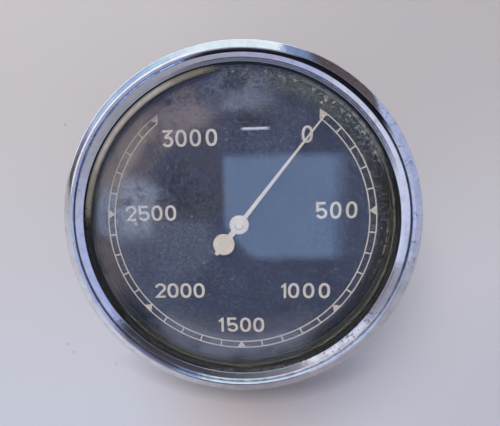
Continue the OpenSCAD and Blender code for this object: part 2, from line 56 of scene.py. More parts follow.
# View: the camera is held over the twelve o'clock side and looks down on the dial, a little aslant.
bpy.ops.object.camera_add(
    location=(4.62 * mm, 29.07 * mm, 205.59 * mm),
    rotation=(math.radians(-11.675), math.radians(4.796), math.radians(-1.718)),
)
camera = bpy.context.object
camera.name = "camera"
camera.data.sensor_width = 36
camera.data.lens = 32.335
camera.data.shift_x = 0.0719
camera.data.shift_y = 0.0231
camera.data.clip_start = 0.01
bpy.context.scene.camera = camera
bpy.context.scene.view_settings.view_transform = "Standard"


# Bench: a wide table top covered in pale matt paper, with a few specks of dust. Its colour carries
# painted light and shade: it is lighter and bluer towards the front, with painted shade towards its two
# right-hand corners, a warm painted tint of shade in front of the instrument and a painted shadow in a
# narrow arc just in front of it.
def put(tree, kind, wires=None, **settings):
    made = tree.nodes.new("ShaderNode" + kind)
    for key, value in settings.items():
        setattr(made, key, value)
    for key, value in (wires or {}).items():
        if isinstance(value, bpy.types.NodeSocket):
            tree.links.new(value, made.inputs[key])
        else:
            made.inputs[key].default_value = value
    return made


def maths(tree, way, first, second):
    return put(tree, "Math", {0: first, 1: second}, operation=way).outputs[0]


def times(tree, first, second):
    return maths(tree, "MULTIPLY", first, second)


def either(tree, first, second):
    return maths(tree, "MAXIMUM", first, second)


# Over: one tone laid on another where the mask says so, at the given strength.
def over(tree, where, under, top, strength=1.0, way="MIX"):
    if strength != 1.0:
        where = times(tree, where, strength)
    under, top = (c if isinstance(c, bpy.types.NodeSocket) else (*c, 1) for c in (under, top))
    return put(tree, "Mix", {0: where, 6: under, 7: top}, data_type="RGBA", blend_type=way).outputs[2]


# Fade: 0 where the value is at start, 1 where it is at end.
def fade(tree, value, start, end, kind="LINEAR"):
    reach = {"Value": value, "From Min": start, "From Max": end}
    return put(tree, "MapRange", reach, interpolation_type=kind).outputs[0]


def between(tree, value, low, high):
    return put(tree, "MapRange", {"Value": value, "To Min": low, "To Max": high}).outputs[0]


def in_mm(tree):
    place = put(tree, "TexCoord").outputs["Object"]
    return put(tree, "VectorMath", {0: place, "Scale": 1000.0}, operation="SCALE").outputs[0]


def away_from(tree, place, x, y, z=0.0):
    return put(tree, "VectorMath", {0: place, 1: (x, y, z)}, operation="DISTANCE").outputs["Value"]


def new_finish(name, colour, metal=0.0, rough=0.5):
    finish = bpy.data.materials.new(name)
    finish.use_nodes = True
    shader = finish.node_tree.nodes["Principled BSDF"]
    shader.inputs["Base Color"].default_value = (*colour, 1)
    shader.inputs["Metallic"].default_value = metal
    shader.inputs["Roughness"].default_value = rough
    return finish, finish.node_tree, shader


# Relief: shallow unevenness of the skin, with the scale and detail of its noise and its depth in metres.
def relief(tree, shader, place, scale, detail, strength, depth):
    skin = put(tree, "TexNoise", {"Vector": place, "Scale": scale, "Detail": detail})
    skin = put(tree, "Bump", {"Height": skin.outputs[0], "Strength": strength, "Distance": depth})
    tree.links.new(skin.outputs[0], shader.inputs["Normal"])


def effect(name, inputs, outputs):
    tree = bpy.data.node_groups.new(name, "ShaderNodeTree")
    for label, value in inputs.items():
        kind = "NodeSocketVector" if value is None else "NodeSocketFloat"
        socket = tree.interface.new_socket(label, in_out="INPUT", socket_type=kind)
        if value is not None:
            socket.default_value = value
    for label in outputs:
        tree.interface.new_socket(label, in_out="OUTPUT", socket_type="NodeSocketFloat")
    return tree, tree.nodes.new("NodeGroupInput").outputs, tree.nodes.new("NodeGroupOutput").inputs


# Clouds of tone: soft patches of about the given size, hardened between low and high.
clouds, given, result = effect("clouds", {"Place": None, "Size": 5.0, "Low": 0.4, "High": 0.6}, ["Mask"])
scale = maths(clouds, "DIVIDE", 1.0, given["Size"])
cloud = put(clouds, "TexNoise", {"Vector": given["Place"], "Scale": scale, "Detail": 5.0, "Roughness": 0.6})
clouds.links.new(fade(clouds, cloud.outputs[0], given["Low"], given["High"]), result["Mask"])


def cloudy(tree, place, size, low=0.4, high=0.6):
    given = {"Place": place, "Size": size, "Low": low, "High": high}
    return put(tree, "Group", given, node_tree=clouds).outputs["Mask"]


# Specks: separate small dots, of which the share is the part of the places that has one.
specks, given, result = effect("specks", {"Place": None, "Gap": 3.0, "Radius": 0.2, "Share": 0.3}, ["Mask"])
scale = maths(specks, "DIVIDE", 1.0, given["Gap"])
jitter = put(specks, "TexNoise", {"Vector": given["Place"], "Scale": 3.0, "Detail": 2.0})
jitter = put(specks, "VectorMath", {0: jitter.outputs["Color"], "Scale": 0.5}, operation="SCALE")
jitter = put(specks, "VectorMath", {0: given["Place"], 1: jitter.outputs[0]}, operation="ADD")
cells = put(specks, "TexVoronoi", {"Vector": jitter.outputs[0], "Scale": scale})
draws = put(specks, "SeparateColor", {0: cells.outputs["Color"]}).outputs
chosen = maths(specks, "LESS_THAN", draws[0], given["Share"])
reach = times(specks, maths(specks, "DIVIDE", given["Radius"], given["Gap"]), draws[1])
dot = fade(specks, cells.outputs["Distance"], reach, times(specks, reach, 0.6), "SMOOTHSTEP")
specks.links.new(times(specks, dot, chosen), result["Mask"])


def speckled(tree, place, gap, radius, share):
    given = {"Place": place, "Gap": gap, "Radius": radius, "Share": share}
    return put(tree, "Group", given, node_tree=specks).outputs["Mask"]


bench_finish, tree, shader = new_finish("bench_paper", (0.61, 0.59, 0.61), rough=0.85)
place = in_mm(tree)
paper = over(tree, cloudy(tree, place, 60.0, 0.3, 0.7), (0.478, 0.438, 0.424), (0.486, 0.440, 0.420))
level = put(tree, "SeparateXYZ", {0: place}).outputs[1]
# Painted light: the paper grows lighter and bluer towards the front.
paper = over(tree, fade(tree, level, 50.0, -110.0), paper, (0.520, 0.515, 0.540))
# Painted shade towards the far right-hand corner of the paper.
far_right_painted_shade = fade(tree, away_from(tree, place, 130.0, 130.0), 170.0, 0.0)
paper = over(tree, far_right_painted_shade, paper, (0.10, 0.08, 0.08), 0.26)
# Painted shade towards the near right-hand corner of the paper.
near_right_painted_shade = fade(tree, away_from(tree, place, 130.0, -115.0), 95.0, 20.0)
paper = over(tree, near_right_painted_shade, paper, (0.10, 0.08, 0.08), 0.11)
# Warm painted tint of the shade in front of the instrument.
in_front_warm_shade_tint = fade(tree, away_from(tree, place, 0.0, -106.0), 60.0, 0.0)
paper = over(tree, in_front_warm_shade_tint, paper, (0.565, 0.385, 0.28), 0.5)
# Painted shadow in a narrow arc on the paper just in front of the instrument.
front_painted_shadow = fade(tree, away_from(tree, place, 0.0, 0.0), 107.0, 99.0)
paper = over(tree, times(tree, front_painted_shadow, fade(tree, level, -78.0, -96.0)), paper, (0.06, 0.05, 0.05), 0.42)
paper = over(tree, speckled(tree, place, 17.0, 0.6, 0.3), paper, (0.25, 0.25, 0.26), 0.45)
for x, y in [(-66.2, -85.0), (-90.6, -74.4), (-87.9, -78.8), (-81.3, 34.9)]:
    crumb = fade(tree, away_from(tree, place, x, y), 1.0, 0.3)
    paper = over(tree, crumb, paper, (0.22, 0.22, 0.24), 0.45)
tree.links.new(paper, shader.inputs["Base Color"])
relief(tree, shader, place, 2.0, 3.0, 0.05, 0.0002)
bpy.ops.mesh.primitive_plane_add(size=6.0)
bench = bpy.context.object
bench.name = "bench"
bench.data.materials.append(bench_finish)
bench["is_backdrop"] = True


# Light: one wide window beyond twelve o'clock, and a pale room that the plated ring and the glass
# mirror: walls all round with a ledge and a sill, a border and a rail high up, and a dim ceiling with
# a blue skylight and a lamp.
bpy.ops.object.light_add(type="AREA", location=(-0.22, 0.78, 1.10))
window = bpy.context.object
window.name = "window"
window.data.shape = "RECTANGLE"
window.data.size = 0.7
window.data.size_y = 0.5
window.data.energy = 16.0
window.data.color = (1.0, 0.99, 0.98)
window.visible_glossy = False
window.rotation_euler = (Vector((0, 0, 0.05)) - window.location).to_track_quat("-Z", "Y").to_euler()

# Across and along say where in the ceiling a ray ends, at a height of 1. Lean is its distance from the
# middle of the ceiling, and bearing its direction from there, in degrees clockwise from twelve.
world = bpy.data.worlds.new("room")
bpy.context.scene.world = world
world.use_nodes = True
tree = world.node_tree
facing = put(tree, "SeparateXYZ", {0: put(tree, "TexCoord").outputs["Generated"]}).outputs
height = either(tree, facing[2], 0.02)
across = maths(tree, "DIVIDE", facing[0], height)
along = maths(tree, "DIVIDE", facing[1], height)
from_middle_x = maths(tree, "ADD", across, 0.034)
from_middle_y = maths(tree, "ADD", along, 0.214)
angle = maths(tree, "ARCTAN2", from_middle_x, from_middle_y)
bearing = times(tree, angle, 180 / math.pi)
squares = [times(tree, away, away) for away in (from_middle_x, from_middle_y)]
lean = maths(tree, "POWER", maths(tree, "ADD", *squares), 0.5)


def band(tree, value, low, high, soft):
    rise = fade(tree, value, low - soft, low + soft, "SMOOTHSTEP")
    fall = fade(tree, value, high + soft, high - soft, "SMOOTHSTEP")
    return times(tree, rise, fall)


def round_the_room(tree, stops):
    turn = times(tree, angle, 1 / (2 * math.pi))
    made = put(tree, "ValToRGB", {0: maths(tree, "ADD", turn, 0.5)})
    ends = made.color_ramp.elements
    first, *others, last = [(degrees / 360 + 0.5, (*colour, 1)) for degrees, colour in stops]
    ends[0].position, ends[0].color = first
    ends[1].position, ends[1].color = last
    for at, colour in others:
        ends.new(at).color = colour
    return made.outputs[0]


walls = round_the_room(tree, [
    (-180, (0.34, 0.31, 0.34)), (-160, (0.56, 0.55, 0.59)), (-130, (0.72, 0.73, 0.78)),
    (-97, (0.62, 0.62, 0.66)), (-84, (0.50, 0.49, 0.51)), (-79, (0.10, 0.09, 0.09)),
    (-64, (0.20, 0.16, 0.15)), (-59, (0.55, 0.62, 0.82)), (-46, (0.62, 0.82, 1.00)),
    (-38, (0.45, 0.58, 0.90)), (-28, (0.60, 0.85, 1.02)), (-12, (0.92, 1.08, 1.14)),
    (8, (1.00, 1.12, 1.16)), (14, (0.95, 1.08, 1.14)), (15.5, (0.26, 0.36, 0.62)),
    (23.6, (0.22, 0.30, 0.48)), (25.6, (0.11, 0.09, 0.10)), (51.2, (0.14, 0.11, 0.12)),
    (52.7, (0.50, 0.56, 0.82)), (80, (0.46, 0.51, 0.76)), (100, (0.45, 0.47, 0.66)),
    (118, (0.44, 0.43, 0.48)), (145, (0.40, 0.37, 0.41)), (180, (0.34, 0.31, 0.34)),
])
border = round_the_room(tree, [
    (-180, (0.16, 0.16, 0.17)), (-168, (0.15, 0.15, 0.16)), (-165, (0.03, 0.03, 0.03)),
    (-150, (0.07, 0.05, 0.04)), (-130, (0.03, 0.03, 0.03)), (-127.5, (0.40, 0.46, 0.80)),
    (-100, (0.45, 0.52, 0.86)), (-82, (0.52, 0.56, 0.82)), (-70, (0.42, 0.44, 0.52)),
    (-50, (0.33, 0.34, 0.36)), (-15, (0.30, 0.31, 0.36)), (15, (0.26, 0.28, 0.36)),
    (45, (0.20, 0.20, 0.26)), (62, (0.34, 0.36, 0.44)), (76, (0.74, 0.78, 0.94)),
    (103, (0.76, 0.82, 1.02)), (106, (0.24, 0.20, 0.20)), (125, (0.26, 0.22, 0.22)),
    (128, (0.62, 0.70, 0.98)), (149, (0.74, 0.70, 0.84)), (150.5, (1.25, 1.25, 1.27)),
    (154.5, (1.25, 1.25, 1.27)), (156.5, (0.24, 0.24, 0.26)), (180, (0.16, 0.16, 0.17)),
])
rail = round_the_room(tree, [
    (-180, (0.13, 0.13, 0.15)), (-166, (0.08, 0.07, 0.08)), (-130, (0.05, 0.045, 0.05)),
    (-127.5, (0.46, 0.52, 0.86)), (-100, (0.50, 0.56, 0.88)), (-85, (0.52, 0.54, 0.76)),
    (-68, (0.42, 0.42, 0.52)), (-45, (0.36, 0.35, 0.40)), (-20, (0.40, 0.38, 0.46)),
    (0, (0.46, 0.46, 0.62)), (25, (0.50, 0.54, 0.80)), (40, (0.74, 0.76, 0.95)),
    (70, (0.72, 0.76, 0.98)), (104, (0.60, 0.66, 0.90)), (108, (0.34, 0.34, 0.44)),
    (126, (0.34, 0.34, 0.42)), (130, (0.80, 0.82, 1.00)), (153, (0.95, 0.90, 0.98)),
    (158, (0.30, 0.29, 0.33)), (180, (0.13, 0.13, 0.15)),
])
slant = maths(tree, "ADD", from_middle_x, times(tree, from_middle_y, 0.862))
sides = times(tree, band(tree, across, -0.065, 9.0, 0.010), band(tree, across, -9.0, 0.188, 0.030))
ends = times(tree, band(tree, along, -0.284, -0.052, 0.014), band(tree, slant, -0.03, 9.0, 0.016))
ceiling = over(tree, times(tree, sides, ends), (0.22, 0.31, 0.66), (0.98, 1.55, 2.75))
from_middle = put(tree, "CombineXYZ", {0: from_middle_x, 1: from_middle_y}).outputs[0]
to_corner = {0: from_middle, 1: (0.5, -0.866, 0.0)}
to_corner = put(tree, "VectorMath", to_corner, operation="DOT_PRODUCT").outputs["Value"]
dark_corner = times(tree, fade(tree, to_corner, -0.02, 0.07), fade(tree, lean, 0.295, 0.33))
ceiling = over(tree, dark_corner, ceiling, (0.05, 0.05, 0.07))
fitting = times(tree, band(tree, across, -0.030, 0.042, 0.010), band(tree, along, 0.0095, 0.052, 0.010))
ceiling = over(tree, fitting, ceiling, (0.08, 0.10, 0.24))
tube = times(tree, band(tree, across, -0.022, 0.034, 0.007), band(tree, along, 0.0046, 0.0090, 0.0025))
ceiling = over(tree, tube, ceiling, (5.5, 6.0, 7.5))
border_edge, rail_edge, wall_edge = (0.375, 0.385), (0.475, 0.49), (0.56, 0.58)
room = over(tree, fade(tree, lean, *border_edge), ceiling, border)
room = over(tree, fade(tree, lean, *rail_edge), room, rail)
near_side = either(tree, band(tree, bearing, -250, -126, 3), band(tree, bearing, 156, 250, 4))
wall_top = maths(tree, "SUBTRACT", lean, times(tree, near_side, 0.06))
room = over(tree, fade(tree, wall_top, *wall_edge), room, walls)
# Each shelf on the walls: its reach in lean, its reach in bearing, its strength and its colour.
for (low, high, soft), (start, end, soft_turn), strength, colour in [
    ((0.60, 0.92, 0.015), (-80, -12, 6), 0.9, (1.24, 1.16, 1.22)),
    ((1.0, 1.2, 0.04), (-76, -20, 6), 0.7, (0.30, 0.38, 0.72)),
    ((1.9, 3.6, 0.3), (-72, -30, 8), 0.7, (0.30, 0.40, 0.78)),
    ((5.0, 60.0, 0.5), (-80, 24, 6), 1.0, (1.22, 1.22, 1.26)),
]:
    shelf = times(tree, band(tree, lean, low, high, soft), band(tree, bearing, start, end, soft_turn))
    room = over(tree, shelf, room, colour, strength)
tree.links.new(room, tree.nodes["Background"].inputs["Color"])
tree.nodes["Background"].inputs["Strength"].default_value = 1.0


# Case: deep-drawn from one sheet of steel with a flange outwards, and stoved with black enamel
# that has worn to the metal here and there.
def finish_node(name, finish):
    nodes[name].data.materials.clear()
    nodes[name].data.materials.append(finish)


case_finish, tree, shader = new_finish("case_enamel", (0.012, 0.012, 0.013), rough=0.38)
place = in_mm(tree)
dull = cloudy(tree, place, 9.0, 0.35, 0.7)
tone = over(tree, dull, (0.010, 0.010, 0.011), (0.026, 0.025, 0.024))
tone = over(tree, speckled(tree, place, 2.2, 0.5, 0.14), tone, (0.19, 0.17, 0.15), 0.6)
tree.links.new(tone, shader.inputs["Base Color"])
tree.links.new(between(tree, dull, 0.30, 0.55), shader.inputs["Roughness"])
relief(tree, shader, place, 1.6, 2.0, 0.12, 0.0003)
finish_node("case_shell", case_finish)


# Metal parts: every bare or plated part has a bright tone and a duller stain, and shallow marks
# left round it by the lathe or along it by the rolling.
def metal_finish(name, bright, dull, rough, stain=3.0, wear=0.5, marks=(0.5, 0.5, 9.0)):
    finish, tree, shader = new_finish(name, bright, metal=1.0, rough=rough)
    place = in_mm(tree)
    stained = cloudy(tree, place, stain, 0.42, 0.66)
    tone = over(tree, stained, bright, dull, wear)
    tone = over(tree, speckled(tree, place, 1.3, 0.16, 0.3), tone, [0.4 * part for part in dull], 0.6)
    tree.links.new(tone, shader.inputs["Base Color"])
    tree.links.new(between(tree, stained, rough, rough + 0.25), shader.inputs["Roughness"])
    along_marks = put(tree, "VectorMath", {0: place, 1: marks}, operation="MULTIPLY").outputs[0]
    relief(tree, shader, along_marks, 1.0, 3.0, 0.12, 0.0001)
    return finish


def arc(centre_r, centre_z, half_r, half_z, start, end, count):
    turns = [math.radians(start + (end - start) * i / count) for i in range(count + 1)]
    return [(centre_r + half_r * math.cos(t), centre_z + half_z * math.sin(t)) for t in turns]


# An outline is a list of distances from the axis and heights over the bench, both in mm.
def drawn_line(name, outline, closed, lead=0.0):
    bpy.ops.object.select_all(action="DESELECT")
    bpy.ops.mesh.primitive_plane_add(size=mm, location=(0, 0, 0))
    piece = bpy.context.object
    piece.name = name
    bpy.ops.object.mode_set(mode="EDIT")
    bpy.ops.mesh.merge(type="CENTER")
    turn = Matrix.Rotation(math.radians(lead), 3, "Z")
    points = [turn @ Vector((r * mm, 0, z * mm)) for r, z in outline]
    bpy.ops.transform.translate(value=points[0])
    here = points[0]
    for there in points[1:] + (points[:1] if closed else []):
        bpy.ops.mesh.extrude_region_move(TRANSFORM_OT_translate={"value": there - here})
        here = there
    bpy.ops.mesh.select_all(action="SELECT")
    bpy.ops.mesh.remove_doubles(threshold=1e-7)
    return piece


def turned(name, outline, finish, body, steps=256, closed=True, soft=35, clock_from=0, clock_to=360):
    piece = drawn_line(name, outline, closed, 90 - clock_from)
    sweep = math.radians(clock_to - clock_from)
    bpy.ops.mesh.spin(steps=steps, angle=sweep, center=(0, 0, 0), axis=(0, 0, 1))
    bpy.ops.mesh.select_all(action="SELECT")
    bpy.ops.mesh.remove_doubles(threshold=1e-6)
    bpy.ops.mesh.fill_holes(sides=0)
    bpy.ops.mesh.normals_make_consistent(inside=False)
    bpy.ops.object.mode_set(mode="OBJECT")
    bpy.ops.object.shade_smooth_by_angle(angle=math.radians(soft))
    piece.data.materials.append(finish)
    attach(piece, body)
    return piece


def cut_thread(piece, crest, depth, pitch, low, high):
    root = crest - depth - 0.02
    flank = [(root, 0), (crest, 0.44 * pitch), (crest, 0.56 * pitch), (root, pitch)]
    skin = drawn_line("thread", [(r, low - pitch + z) for r, z in flank], False)
    bpy.ops.object.mode_set(mode="OBJECT")
    helix = skin.modifiers.new("helix", "SCREW")
    helix.angle = 2 * math.pi
    helix.screw_offset = pitch * mm
    helix.iterations = int((high - low) / pitch) + 2
    helix.steps = helix.render_steps = 48
    helix.use_merge_vertices = True
    helix.merge_threshold = 1e-6
    bpy.ops.object.modifier_apply(modifier="helix")
    bpy.ops.object.mode_set(mode="EDIT")
    bpy.ops.mesh.select_all(action="SELECT")
    bpy.ops.mesh.bisect(plane_co=(0, 0, low * mm), plane_no=(0, 0, 1), clear_inner=True)
    bpy.ops.mesh.select_all(action="SELECT")
    bpy.ops.mesh.bisect(plane_co=(0, 0, high * mm), plane_no=(0, 0, 1), clear_outer=True)
    bpy.ops.mesh.select_all(action="SELECT")
    bpy.ops.mesh.normals_make_consistent(inside=False)
    bpy.ops.object.mode_set(mode="OBJECT")
    piece.select_set(True)
    bpy.context.view_layer.objects.active = piece
    bpy.ops.object.join()
    bpy.ops.object.shade_smooth_by_angle(angle=math.radians(35))


# Drive boss: cast in zinc, its flange clamped inside the case under the base plate, bored for the
# ferrule of the flexible shaft and threaded M22 x 1.5 for its union nut.
cast_zinc = metal_finish("cast_zinc", (0.50, 0.51, 0.53), (0.30, 0.30, 0.30), 0.38, 2.5, marks=(3, 3, 3))
boss_outline = [(9.6, 0), (10.08, 0.5), (10.08, 15.6), (9.8, 15.65), (9.8, 17.6), (15, 17.6), (15, 20.1)]
boss_outline += [(5, 20.1), (5, 8), (6.5, 8), (6.5, 0.3), (6.8, 0)]
boss = turned("threaded_boss", boss_outline, cast_zinc, "housing", steps=128)
cut_thread(boss, crest=11.0, depth=0.92, pitch=1.5, low=0.45, high=15.3)
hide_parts("drive_boss")

# Mounting studs: two M5 studs riveted in the back of the case, zinc plated and now dull, each with
# its washer and hexagon nut for the clamp.
plated = metal_finish("dull_zinc_plate", (0.58, 0.56, 0.48), (0.34, 0.30, 0.22), 0.34, stain=1.6, wear=0.7)
stud_outline = [(0, 0), (1.7, 0), (2.01, 0.35), (2.01, 17.4), (2.5, 17.7), (2.5, 18.8), (5, 18.8)]
stud_outline += arc(4.7, 20.0, 0.3, 0.3, 0, 90, 4) + [(0, 20.3)]
studs = turned("threaded_studs", stud_outline, plated, "housing", steps=64, closed=False)
cut_thread(studs, crest=2.5, depth=0.49, pitch=0.8, low=0.3, high=17.4)
stud_x = 0.035
bpy.ops.object.mode_set(mode="EDIT")
bpy.ops.mesh.select_all(action="SELECT")
bpy.ops.transform.translate(value=(stud_x, 0, 0))
bpy.ops.mesh.duplicate_move(TRANSFORM_OT_translate={"value": (-2 * stud_x, 0, 0)})
bpy.ops.object.mode_set(mode="OBJECT")
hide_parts("mounting_studs")
for name in ("stud_washers", "stud_nuts", "case_screws"):
    finish_node(name, plated)

# Rubber rings: moulded black rubber, one under the glass and one behind the bezel where it meets the
# panel, both gone grey with bloom.
rubber, tree, shader = new_finish("old_rubber", (0.020, 0.020, 0.020), rough=0.75)
place = in_mm(tree)
tone = over(tree, cloudy(tree, place, 4.0, 0.4, 0.7), (0.014, 0.014, 0.014), (0.050, 0.048, 0.045))
tone = over(tree, speckled(tree, place, 1.2, 0.25, 0.3), tone, (0.12, 0.11, 0.10), 0.5)
tree.links.new(tone, shader.inputs["Base Color"])
relief(tree, shader, place, 2.5, 4.0, 0.3, 0.0002)
for name in ("glass_gasket", "panel_gasket"):
    finish_node(name, rubber)

# Drive: a hardened and ground steel spindle with its clip, running in sintered bronze, carries a
# turned brass hub with the ground magnet, and round it the drawn soft iron cup that closes its field.
turned_steel = metal_finish("turned_steel", (0.56, 0.56, 0.57), (0.36, 0.33, 0.30), 0.24, stain=4.0, wear=0.4)
blued_spring = metal_finish("blued_spring", (0.10, 0.11, 0.20), (0.14, 0.10, 0.08), 0.30, marks=(2, 2, 2))
bearing_bronze = metal_finish("bearing_bronze", (0.50, 0.34, 0.18), (0.28, 0.19, 0.11), 0.42, marks=(4, 4, 4))
turned_brass = metal_finish("turned_brass", (0.72, 0.55, 0.27), (0.42, 0.29, 0.13), 0.26, wear=0.6)
ground_magnet = metal_finish("ground_magnet", (0.30, 0.30, 0.32), (0.17, 0.14, 0.12), 0.36, marks=(8, 0.5, 1))
soft_iron = metal_finish(
    "drawn_iron", (0.34, 0.34, 0.35), (0.20, 0.17, 0.14), 0.40, wear=0.7, marks=(0.6, 0.6, 5),
)
ruby, tree, shader = new_finish("ruby_jewel", (0.42, 0.03, 0.06), rough=0.08)
tone = over(tree, cloudy(tree, in_mm(tree), 0.8, 0.3, 0.7), (0.46, 0.03, 0.06), (0.30, 0.02, 0.05))
tree.links.new(tone, shader.inputs["Base Color"])
shader.inputs["Coat Weight"].default_value = 1.0
for name, finish in (
    ("drive_spindle", turned_steel), ("spindle_clip", blued_spring), ("thrust_washer", bearing_bronze),
    ("lower_bush", bearing_bronze), ("magnet_hub", turned_brass), ("magnet", ground_magnet),
    ("return_cup", soft_iron), ("lower_jewel", ruby),
):
    finish_node(name, finish)

# Movement frame: a zinc base plate with steel pillars, a blanked brass bridge and a blanked steel
# carrier for the dial, all held by slotted screws.
bridge_brass = metal_finish(
    "blanked_brass", (0.70, 0.53, 0.26), (0.40, 0.27, 0.12), 0.30, wear=0.6, marks=(0.4, 6, 0.4),
)
carrier_steel = metal_finish(
    "blanked_steel", (0.50, 0.50, 0.51), (0.32, 0.28, 0.24), 0.34, wear=0.6, marks=(6, 0.4, 1),
)
for name, finish in (
    ("base_plate", cast_zinc), ("pillars", turned_steel), ("bridge_pillars", turned_steel),
    ("bridge", bridge_brass), ("bridge_screws", turned_steel), ("dial_carrier", carrier_steel),
    ("carrier_screws", turned_steel), ("stop_pins", turned_steel),
):
    finish_node(name, finish)

# Measuring system: a spun aluminium drag cup on a brass hub and a thin steel staff, held back by a
# spiral of phosphor bronze strip whose outer end sits in the regulator lever.
spun_aluminium = metal_finish("spun_aluminium", (0.78, 0.79, 0.80), (0.58, 0.58, 0.59), 0.26, wear=0.4)
spring_strip = metal_finish("spring_strip", (0.66, 0.44, 0.24), (0.44, 0.27, 0.14), 0.26, marks=(0.5, 0.5, 8))
for name, finish in (
    ("drag_cup", spun_aluminium), ("drag_hub", turned_brass), ("pointer_staff", turned_steel),
    ("hairspring", spring_strip), ("hairspring_collet", turned_brass), ("regulator_lever", bridge_brass),
    ("upper_bush", bearing_bronze), ("stop_arm", bridge_brass),
):
    finish_node(name, finish)

# Dial: blanked from sheet metal and sprayed dull black. Dust has settled on it, and damp has left
# olive and black mould with pale grains near its edge, mostly from twelve to four o'clock. Painted light
# lifts it in soft hazes, mostly towards its rim where the bezel shades it, and two thin painted
# highlights lie near its edge at the lower right.
dial_face = 61.7

# Clock: distance from the dial's axis in mm, and degrees clockwise from twelve, from -180 to 180.
clock, given, result = effect("clock", {"Place": None}, ["Radius", "Angle"])
spot = put(clock, "SeparateXYZ", {0: given["Place"]}).outputs
square = maths(clock, "ADD", maths(clock, "POWER", spot[0], 2.0), maths(clock, "POWER", spot[1], 2.0))
clock.links.new(maths(clock, "POWER", square, 0.5), result["Radius"])
clock.links.new(times(clock, maths(clock, "ARCTAN2", spot[0], spot[1]), 180 / math.pi), result["Angle"])


def sector(tree, place, inner, outer, start, end, soft_r=1.0, soft_a=6.0):
    reading = put(tree, "Group", {"Place": place}, node_tree=clock).outputs
    return times(
        tree,
        band(tree, reading["Radius"], inner, outer, soft_r),
        band(tree, reading["Angle"], start, end, soft_a),
    )


def patch(tree, place, x, y, radius, soft):
    away = away_from(tree, place, x, y, dial_face)
    return fade(tree, away, radius + soft, radius - soft, "SMOOTHSTEP")


dial_finish, tree, shader = new_finish("dial_black", (0.017, 0.017, 0.020), rough=0.62)
shader.inputs["Specular IOR Level"].default_value = 0.15
place = in_mm(tree)
tone = over(tree, cloudy(tree, place, 16.0, 0.35, 0.7), (0.011, 0.011, 0.018), (0.024, 0.027, 0.043))
# Hazes: soft clouds of dust with painted light in them, lifting the dial where the bezel shades it and
# tinting it bluish at the left.
# Each haze: its ring in mm, its two ends on the clock, the size of its clouds, strength and colour.
for inner, outer, start, end, size, strength, colour in [
    (10, 44, -140, -84, 14.0, 0.9, (0.038, 0.041, 0.057)),
    (8, 30, -85, -18, 9.0, 0.9, (0.020, 0.015, 0.014)),
    (25, 46, -100, -64, 9.0, 0.9, (0.055, 0.058, 0.068)),
    (33, 48, -76, -9, 9.0, 1.0, (0.058, 0.044, 0.038)),
    (36, 46, -16, 18, 9.0, 0.9, (0.042, 0.040, 0.046)),
    (42, 49, -122, -74, 5.0, 0.9, (0.030, 0.023, 0.016)),
    (35, 46, 145, 180, 9.0, 0.9, (0.037, 0.034, 0.036)),
    (35, 46, -180, -145, 9.0, 0.9, (0.037, 0.034, 0.036)),
]:
    haze = sector(tree, place, inner, outer, start, end, 3.0, 8)
    haze = times(tree, haze, cloudy(tree, place, size, 0.25, 0.55))
    tone = over(tree, haze, tone, colour, strength)
mould = times(tree, sector(tree, place, 43.0, 49.5, -16, 112, 2.4, 8), cloudy(tree, place, 7.0, 0.30, 0.50))
tone = over(tree, mould, tone, (0.026, 0.026, 0.018))
rot = times(tree, sector(tree, place, 41.5, 49.5, -30, 112, 2.2, 8), cloudy(tree, place, 0.9, 0.46, 0.54))
tone = over(tree, rot, tone, (0.005, 0.005, 0.005))
moss = times(tree, sector(tree, place, 43.6, 49.5, -6, 66, 2.0, 10), cloudy(tree, place, 0.55, 0.50, 0.56))
tone = over(tree, moss, tone, (0.070, 0.070, 0.036))
black_rim = sector(tree, place, 44.6, 49.5, 62, 178, 1.2, 12)
black_rim = times(tree, black_rim, cloudy(tree, place, 4.0, 0.34, 0.5))
tone = over(tree, black_rim, tone, (0.006, 0.007, 0.007), 0.85)
tone = over(tree, sector(tree, place, 44.6, 50, 96, 178, 1.0, 10), tone, (0.004, 0.004, 0.003), 0.9)
# Painted highlights: two thin pale arcs near the rim, one near three o'clock and one from half past four to
# six.
painted_edge_highlight = times(tree, sector(tree, place, 46.7, 47.2, 90, 106, 0.2, 4), cloudy(tree, place, 1.5, 0.42, 0.5))
tone = over(tree, painted_edge_highlight, tone, (0.12, 0.10, 0.07))
tone = over(tree, sector(tree, place, 44.0, 44.4, 132, 174, 0.25, 8), tone, (0.050, 0.046, 0.034), 0.7)
black_rim = sector(tree, place, 41.5, 49.5, -150, -112, 2.0, 8)
black_rim = times(tree, black_rim, cloudy(tree, place, 3.0, 0.38, 0.5))
tone = over(tree, black_rim, tone, (0.004, 0.004, 0.004))
blots = times(tree, patch(tree, place, -17.5, 11.5, 9.0, 5.0), cloudy(tree, place, 2.4, 0.44, 0.56))
tone = over(tree, blots, tone, (0.004, 0.004, 0.006), 0.9)
blots = times(tree, patch(tree, place, -30.5, 30.5, 5.5, 3.0), cloudy(tree, place, 2.0, 0.44, 0.55))
tone = over(tree, blots, tone, (0.006, 0.005, 0.006))
tone = over(tree, speckled(tree, place, 6.0, 0.55, 0.16), tone, (0.006, 0.006, 0.006))
for x, y, radius in [(16.6, 2.6, 0.75), (-27.1, 29.9, 0.7), (8.1, 3.0, 0.5), (34.5, 17.6, 0.35)]:
    tone = over(tree, patch(tree, place, x, y, radius, 0.3), tone, (0.004, 0.004, 0.004), 0.9)
tone = over(tree, speckled(tree, place, 0.9, 0.40, 0.40), tone, (0.10, 0.095, 0.10), 0.4)
tone = over(tree, speckled(tree, place, 3.1, 0.36, 0.30), tone, (0.20, 0.19, 0.19), 0.8)
grains = sector(tree, place, 42.0, 49.5, -14, 112, 2.0, 8)
grains = times(tree, speckled(tree, place, 0.85, 0.40, 0.55), grains)
tone = over(tree, grains, tone, (0.14, 0.14, 0.12), 0.7)
